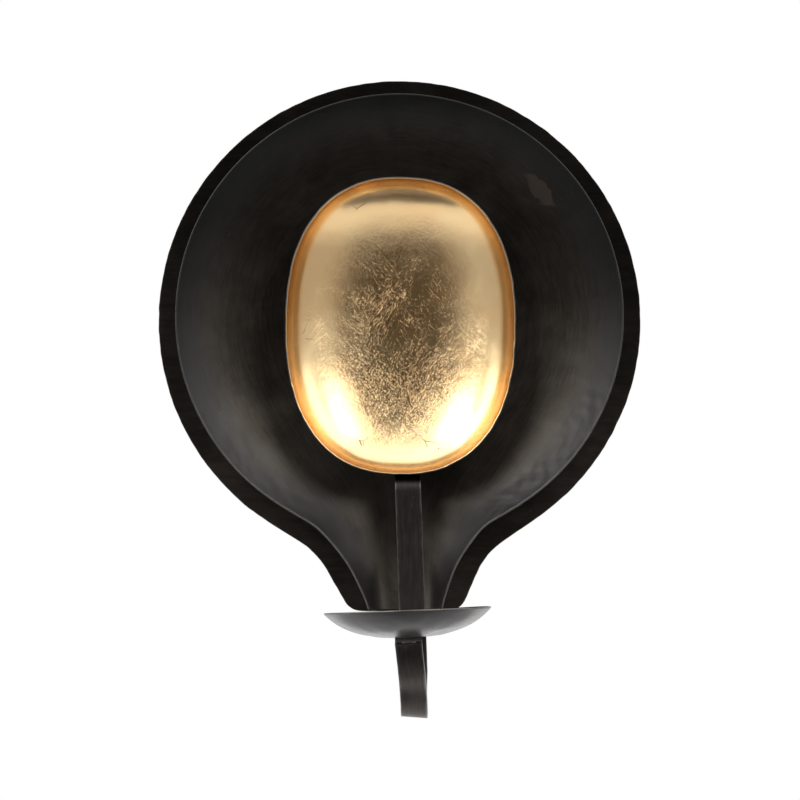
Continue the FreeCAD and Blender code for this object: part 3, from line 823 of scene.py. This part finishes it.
def patina(name, dark, light, rough, flow=None, streak=(1.0, 1.0, 1.0), streak_scale=40.0,
           cool=None, cool_reach=None, worn=(0.11, 0.105, 0.10), worn_reach=0.7, streak_depth=0.00002,
           spot=None, finish_and_painted_light_by_height=None):
    """Blackened, rubbed and waxed sheet: clouds, streaks along the flow, worn edges and fine dust.

    Reaches are millimetres in from the edge. The last setting is two heights and the colour's factor at
    each: darker at the top and lighter lower down, partly the finish's own variation and partly painted
    shade and painted light; it also dims the worn edges at the top as painted shade.
    """
    made, g = new_material(name)
    place = g.place()
    clouds = g.noise(place, 17.0, 4.0, 0.55, 0.6)
    blotch = g.noise(place, 55.0, 3.0, 0.55, 0.3)
    grain = g.noise(place, 900.0, 2.0, 0.6)
    along = g.scale(g.attribute(flow, "Vector") if flow else place, streak)
    streaks = g.noise(along, streak_scale, 3.0, 0.6, 0.15)
    fine = g.noise(along, streak_scale * 3.1, 2.0, 0.6, 0.1)
    tone = g.plus(g.times(g.span(clouds, 0.36, 0.66), 0.50), g.times(g.span(blotch, 0.35, 0.68), 0.22))
    tone = g.plus(tone, g.times(g.span(streaks, 0.36, 0.66), 0.24))
    tone = g.plus(tone, g.swing(fine, 0.9))
    colour = g.mix(tone, dark, light)
    if cool:
        near_edge = g.span(g.attribute("edge"), cool_reach, 0.0)
        colour = g.mix(g.times(near_edge, 0.7), colour, cool)
    if spot:
        colour = spot(g, place, colour)
    rare = g.span(g.noise(place, 70.0, 1.0), 0.60, 0.64)
    dust = g.times(g.span(g.cells(place, 160.0), 0.10, 0.05), rare)
    colour = g.mix(g.times(dust, 0.25), colour, (0.16, 0.15, 0.14))
    rub = g.noise(place, 130.0, 3.0, 0.6)
    reach = g.times(g.span(rub, 0.30, 0.70, 0.35, 1.6), worn_reach)
    worn_mask = g.math("SUBTRACT", 1.0, g.math("DIVIDE", g.attribute("edge"), reach), clamp=True)
    worn_mask = g.math("MULTIPLY", worn_mask, g.span(rub, 0.30, 0.55, 0.45, 1.0), clamp=True)
    height = g.node("ShaderNodeSeparateXYZ", {0: place}).outputs[2]
    # Painted shade: the worn edges fade towards the top, where the light is dimmer.
    if finish_and_painted_light_by_height:
        painted_shade_at_top = g.span(height, object_z(90.0), object_z(-70.0), 0.62, 0.0)
        worn_mask = g.times(worn_mask, g.math("SUBTRACT", 1.0, painted_shade_at_top))
    colour = g.mix(worn_mask, colour, worn)
    # Painted shade and painted light: the colour is scaled darker at the top and lighter lower down, partly
    # also the finish's own variation.
    if finish_and_painted_light_by_height:
        upper, lower, at_upper, at_lower = finish_and_painted_light_by_height
        factor = g.span(height, object_z(upper), object_z(lower), at_upper, at_lower)
        colour = g.node("ShaderNodeVectorMath", {0: colour, "Scale": factor}, operation="SCALE").outputs[0]
    roughness = g.plus(rough, g.swing(clouds, 0.22))
    roughness = g.plus(roughness, g.swing(streaks, 0.16))
    roughness = g.plus(roughness, g.swing(grain, 0.06))
    normal = g.bump(streaks, streak_depth * 1.4)
    normal = g.bump(fine, streak_depth * 0.6, normal)
    normal = g.bump(blotch, 0.00016, normal)
    normal = g.bump(grain, 0.0000015, normal)
    close_material(g, colour, roughness, normal)
    return made


def rubbed_spot(g, place, colour):
    """A brown rub mark high on the right of the dish."""
    centre = (0.0875, -0.012, object_z(84.0))
    from_centre = g.node("ShaderNodeVectorMath", {0: place, 1: centre}, operation="SUBTRACT").outputs[0]
    ragged = g.shift(g.turn(from_centre, 38.0), g.wobble(place, 170.0, 3.0, 0.007))
    far = g.length(g.scale(ragged, (250.0, 0.0, 90.0)))
    return g.mix(g.span(far, 1.25, 0.95, 0.0, 0.6), colour, (0.125, 0.100, 0.078))


def gold_leaf():
    """Crumpled gold leaf over a rough ground, rubbed through to brown in hairlines and specks."""
    made, g = new_material("gold_leaf")
    place = g.place()
    edge = g.attribute("edge")
    bent = g.shift(place, g.wobble(place, 60.0, 2.0, 0.0035))

    def hairs(angle, scale, thin, low, high, shift):
        """Thin ridges that run at an angle, in patches that lie elsewhere for each shift."""
        line = g.noise(g.scale(g.turn(bent, angle), (12.5, 1.0, 3.0)), scale, 2.5, 0.6, 0.5)
        ridge = g.span(g.math("ABSOLUTE", g.math("SUBTRACT", line, 0.5)), 0.0, thin, 1.0, 0.0)
        patches = g.noise(g.shift(place, (shift, 0.5 * shift, 0.7 * shift)), 42.0, 2.0)
        return g.times(ridge, g.span(patches, low, high))

    fine = g.most(hairs(-14.0, 60.0, 0.10, 0.0, 0.36, 0.0), hairs(20.0, 66.0, 0.10, 0.0, 0.38, 0.31))
    fine = g.most(fine, hairs(48.0, 84.0, 0.14, 0.30, 0.62, 0.57))
    strong = g.most(hairs(36.0, 60.0, 0.07, 0.20, 0.62, 0.83), hairs(-34.0, 64.0, 0.07, 0.24, 0.64, 1.1))
    crumple = g.noise(bent, 420.0, 3.0, 0.6, 0.8)
    pebble = g.noise(place, 150.0, 3.0, 0.5, 0.3)
    fade = g.span(edge, 8.0, 22.0, 0.05, 1.0)
    normal = g.bump(g.times(fine, fade), 0.00002)
    normal = g.bump(g.times(strong, fade), 0.000027, normal)
    normal = g.bump(g.times(crumple, fade), 0.000024, normal)
    normal = g.bump(pebble, 0.000015, normal)
    tone = g.noise(place, 26.0, 3.0, 0.5, 0.4)
    colour = g.mix(g.span(tone, 0.35, 0.7), (0.90, 0.62, 0.32), (0.96, 0.71, 0.39))
    cracks = g.span(g.cells(bent, 95.0, "DISTANCE_TO_EDGE"), 0.024, 0.006)
    bare = g.times(cracks, g.span(g.noise(place, 33.0, 2.0), 0.625, 0.66))
    dots = g.times(g.span(g.cells(place, 260.0), 0.20, 0.10), g.span(g.noise(place, 46.0, 2.0), 0.68, 0.72))
    bare = g.times(g.most(bare, dots), g.span(edge, 30.0, 16.0))
    colour = g.mix(g.times(bare, 0.85), colour, (0.10, 0.045, 0.018))
    rim = g.span(edge, 0.9, 0.1)
    colour = g.mix(g.times(rim, 0.6), colour, (0.62, 0.46, 0.29))
    roughness = g.plus(0.22, g.swing(tone, 0.10))
    roughness = g.plus(roughness, g.times(bare, 0.3))
    close_material(g, colour, roughness, normal)
    return made


def steel():
    made, g = new_material("plain_steel")
    place = g.place()
    haze = g.noise(place, 120.0, 4.0, 0.6)
    scratch = g.noise(g.scale(place, (1.0, 1.0, 14.0)), 260.0, 2.0, 0.6)
    colour = g.mix(g.span(haze, 0.35, 0.7), (0.42, 0.42, 0.41), (0.58, 0.57, 0.55))
    roughness = g.plus(0.28, g.times(scratch, 0.22))
    close_material(g, colour, roughness, g.bump(scratch, 0.00001))
    return made


def rubber():
    made, g = new_material("rubber")
    place = g.place()
    grain = g.noise(place, 700.0, 3.0, 0.6)
    haze = g.noise(place, 90.0, 3.0)
    colour = g.mix(haze, (0.020, 0.020, 0.021), (0.045, 0.044, 0.043))
    roughness = g.plus(0.55, g.times(grain, 0.25))
    close_material(g, colour, roughness, g.bump(grain, 0.00003), metal=0.0)
    return made


def assign(made, *materials):
    """Gives a piece these materials and no others."""
    made.data.materials.clear()
    for one in materials:
        made.data.materials.append(one)


# The dish's colour runs from 0.55 times at the top to 1.48 times at the bottom: painted shade and painted
# light, partly also the finish's own variation.
DISH_LOOK = patina(
    "blackened_dish", (0.031, 0.0262, 0.0218), (0.0645, 0.0562, 0.0472), 0.45,
    flow="flow", streak=(1.0, 1.0, 20.0), streak_scale=42.0,
    cool=(0.046, 0.047, 0.049), cool_reach=30.0, spot=rubbed_spot,
    worn=(0.075, 0.071, 0.067), worn_reach=0.5, finish_and_painted_light_by_height=(70.0, -120.0, 0.55, 1.48),
)
# The plate's colour runs from 0.48 times at the top to 1.95 times at the bottom: painted shade and painted
# light, partly also the finish's own variation.
PLATE_LOOK = patina(
    "blackened_plate", (0.0170, 0.0147, 0.0130), (0.0279, 0.0242, 0.0206), 0.43,
    streak=(1.0, 1.0, 6.0), worn=(0.09, 0.08, 0.065), worn_reach=0.45, finish_and_painted_light_by_height=(90.0, -140.0, 0.48, 1.95),
)
# The bar's colour rises to 2.7 times round the bottom of the loop: painted light where the bend faces down.
BAR_LOOK = patina(
    "blackened_bar", (0.0406, 0.0362, 0.0338), (0.070, 0.0632, 0.0592), 0.45,
    flow="flow", streak=(14.0, 14.0, 1.0), streak_scale=50.0, worn_reach=0.75,
    finish_and_painted_light_by_height=(-205.0, -232.0, 1.0, 2.7),
)
PAN_LOOK = patina(
    "blackened_pan", (0.122, 0.116, 0.116), (0.164, 0.158, 0.158), 0.30,
    flow="flow", streak=(1.0, 1.0, 16.0), streak_scale=90.0, worn_reach=0.6, streak_depth=0.000008,
)
BOWL_BACK_LOOK = patina(
    "bowl_outside", (0.026, 0.022, 0.020), (0.046, 0.040, 0.035), 0.42,
    streak=(1.0, 1.0, 5.0), worn_reach=0.8,
)
GOLD_LOOK = gold_leaf()
STEEL_LOOK = steel()
RUBBER_LOOK = rubber()

plate = build_plate()
assign(plate, PLATE_LOOK)
finish_piece(plate, "blackened_plate", "back_plate")

dish = build_dish()
assign(dish, DISH_LOOK)
finish_piece(dish, "blackened_dish", "front_dish", bevel=0.3)

bowl, bowl_sides = build_bowl()
assign(bowl, GOLD_LOOK, BOWL_BACK_LOOK)
bowl.data.polygons.foreach_set("material_index", bowl_sides)
finish_piece(bowl, "gold_leaf", "reflector_bowl")

arm = build_arm()
assign(arm, BAR_LOOK)
finish_piece(arm, "blackened_bar", "arm_strap", bevel=0.35)

pan = build_pan()
assign(pan, PAN_LOOK)
finish_piece(pan, "blackened_pan", "drip_pan")

for node, look in (
    ("pan_rivet", BAR_LOOK), ("bowl_studs", STEEL_LOOK), ("stud_washers", STEEL_LOOK),
    ("stud_nuts", STEEL_LOOK), ("hanger_bracket", STEEL_LOOK), ("hanger_rivets", STEEL_LOOK),
    ("wall_bumpers", RUBBER_LOOK),
):
    assign(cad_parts[node], look)


# ---------------------------------------------------------------- floor, light and camera

FLOOR_Z = -560.0
FLOOR_RADII = (500.0, 1000.0, 2000.0, 4000.0, 9000.0)
FLOOR_COUNT = 96
OPENING_HALF_WIDTH = math.radians(26.0)
OPENING_HALF_HEIGHT = math.radians(33.0)
OPENING_MIDDLE = math.radians(6.0)
OPENING_SQUARENESS = 2.4


def build_floor():
    """Pale round floor that fades out, with a little light of its own."""
    rings = revolve([(radius, FLOOR_Z) for radius in FLOOR_RADII], FLOOR_COUNT)
    faces = lattice(len(rings), FLOOR_COUNT)
    faces.append(tuple(range(FLOOR_COUNT)))
    made = to_object("floor", np.vstack(rings), faces)
    look, g = new_material("pale_floor")
    place = g.place()
    along = g.node("ShaderNodeSeparateXYZ", {0: place}).outputs[1]
    glow = g.span(along, -0.28, 0.18, 0.10, 0.75)
    far = g.length(g.scale(place, (1.0, 1.0, 0.0)))
    # looked at, the floor is plain and pale; what it bounces back on the metal is dimmer in front
    seen = g.node("ShaderNodeLightPath").outputs["Is Camera Ray"]
    base = g.mix(seen, (0.52, 0.52, 0.52), (0.35, 0.35, 0.35))
    glow = g.span(seen, 0.0, 1.0, glow, 0.82, kind="LINEAR")
    shader = g.node("ShaderNodeBsdfPrincipled", {"Base Color": base, "Roughness": 0.7})
    g.put(shader.inputs["Emission Color"], (1.0, 1.0, 1.0))
    g.put(shader.inputs["Emission Strength"], glow)
    clear = g.node("ShaderNodeBsdfTransparent")
    sheet = g.node("ShaderNodeMixShader", {0: g.span(far, 0.95, 1.6)})
    g.tree.links.new(shader.outputs["BSDF"], sheet.inputs[1])
    g.tree.links.new(clear.outputs[0], sheet.inputs[2])
    out = g.node("ShaderNodeOutputMaterial")
    g.tree.links.new(sheet.outputs[0], out.inputs["Surface"])
    assign(made, look)


def build_world():
    """White tent with a darker opening in front of the object. The camera sees plain white."""
    world = bpy.data.worlds.new("tent")
    world.use_nodes = True
    bpy.context.scene.world = world
    g = Graph(world.node_tree)
    way = g.node("ShaderNodeSeparateXYZ", {0: g.node("ShaderNodeTexCoord").outputs["Generated"]})
    x, y, z = way.outputs[0], way.outputs[1], way.outputs[2]
    side = g.math("ARCTAN2", x, g.times(y, -1.0))
    up = g.math("ARCSINE", z)
    wide = g.math("DIVIDE", side, OPENING_HALF_WIDTH)
    tall = g.math("DIVIDE", g.math("SUBTRACT", up, OPENING_MIDDLE), OPENING_HALF_HEIGHT)
    wide = g.math("POWER", g.math("ABSOLUTE", wide), OPENING_SQUARENESS)
    tall = g.math("POWER", g.math("ABSOLUTE", tall), OPENING_SQUARENESS)
    off = g.math("POWER", g.plus(wide, tall), 1 / OPENING_SQUARENESS)
    share = g.span(off, 0.6, 1.5)
    rise = g.span(up, math.radians(5.0), math.radians(60.0))
    walls = g.mix(rise, (0.48, 0.475, 0.47), (0.85, 0.84, 0.83))
    behind = g.span(y, -0.1, 0.5)
    walls = g.mix(behind, walls, (1.0, 1.0, 1.0))
    colour = g.mix(share, (0.042, 0.034, 0.027), walls)
    tent = g.node("ShaderNodeBackground", {"Color": colour, "Strength": 1.0})
    white = g.node("ShaderNodeBackground", {"Color": (1.0, 1.0, 1.0), "Strength": 1.0})
    seen = g.node("ShaderNodeLightPath").outputs["Is Camera Ray"]
    mixed = g.node("ShaderNodeMixShader", {0: seen})
    g.tree.links.new(tent.outputs[0], mixed.inputs[1])
    g.tree.links.new(white.outputs[0], mixed.inputs[2])
    out = g.node("ShaderNodeOutputWorld")
    g.tree.links.new(mixed.outputs[0], out.inputs["Surface"])


def build_light(name, azimuth, elevation, distance, width, height, power):
    """Soft box aimed at the bowl. Azimuth 0 is in front, positive to the right."""
    light = bpy.data.lights.new(name, "AREA")
    light.shape = "RECTANGLE"
    light.size = width
    light.size_y = height
    light.energy = power
    made = bpy.data.objects.new(name, light)
    bpy.context.scene.collection.objects.link(made)
    a, e = math.radians(azimuth), math.radians(elevation)
    way = Vector((math.sin(a) * math.cos(e), -math.cos(a) * math.cos(e), math.sin(e)))
    aim = Vector((0.0, -0.02, CENTRE_Z * MM))
    made.location = aim + way * distance
    made.rotation_mode = "QUATERNION"
    made.rotation_quaternion = way.to_track_quat("Z", "Y")


def build_camera():
    """Camera just above the height of the pan's rim, shifted and tilted up to centre the object."""
    camera = bpy.data.cameras.new("camera")
    made = bpy.data.objects.new("camera", camera)
    bpy.context.scene.collection.objects.link(made)
    plate_field = 0.4942
    distance = 1.6
    above_pan_rim = 0.6
    eye = object_z(PAN_RIM_HEIGHT + above_pan_rim)
    middle = -0.1549
    sideways = 0.0003
    camera.sensor_width = 36.0
    camera.lens = camera.sensor_width * distance / plate_field
    camera.shift_y = 0.10
    camera.clip_start = 0.05
    camera.clip_end = 60.0
    rise = math.atan((middle - eye) / distance) - math.atan(camera.shift_y * plate_field / distance)
    made.location = (sideways, PLATE_FRONT * MM - distance, eye)
    made.rotation_euler = (math.radians(90) + rise, 0.0, 0.0)
    bpy.context.scene.camera = made


build_floor()
build_world()
build_light("key_left", -31.5, 31.0, 1.7, 0.50, 0.80, 7.9)
build_light("key_right", 31.5, 31.0, 1.7, 0.50, 0.80, 6.5)
build_light("upper_left", -84.0, 38.0, 1.6, 1.7, 1.4, 17.5)
build_light("upper_right", 84.0, 38.0, 1.6, 1.7, 1.4, 11.5)
build_light("overhead", 0.0, 68.0, 1.5, 1.4, 1.0, 5.2)
build_camera()
bpy.context.scene.view_settings.view_transform = "Standard"
